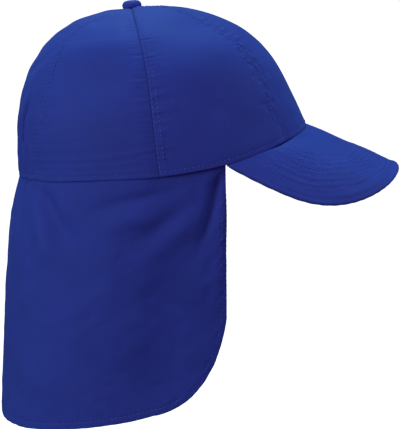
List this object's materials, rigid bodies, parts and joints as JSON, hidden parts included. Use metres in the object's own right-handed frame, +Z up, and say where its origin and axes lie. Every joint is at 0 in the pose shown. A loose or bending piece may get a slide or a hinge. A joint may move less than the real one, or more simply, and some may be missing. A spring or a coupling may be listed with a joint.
{
  "type": "legionnaire cap",
  "caption": "Panelled cloth cap with a curved stiff peak, a cloth-covered button and a long flap that shades the neck.",
  "frame": {"origin": "the centre of the head opening, where the cap sits on a head", "axes": "+Z up as worn, the peak points along -Y, the wearer's left side is +X; the crown leans back by 10 degrees"},
  "size_m": [0.1724, 0.2847, 0.2928],
  "materials": {
    "crown_cloth": "matt royal-blue cotton twill",
    "peak_cloth": "stitched royal-blue cotton twill over a stiff board",
    "flap_cloth": "soft matt royal-blue cotton",
    "band_cloth": "plain matt blue cotton tape"
  },
  "bodies": {
    "root": {"front_panel": "crown_cloth", "side_front_panel_left": "crown_cloth", "side_front_panel_right": "crown_cloth", "side_rear_panel_left": "crown_cloth", "side_rear_panel_right": "crown_cloth", "back_panel": "crown_cloth", "top_button": "crown_cloth", "peak": "peak_cloth", "neck_flap": "flap_cloth", "sweatband": "band_cloth"}
  },
  "joints": []
}
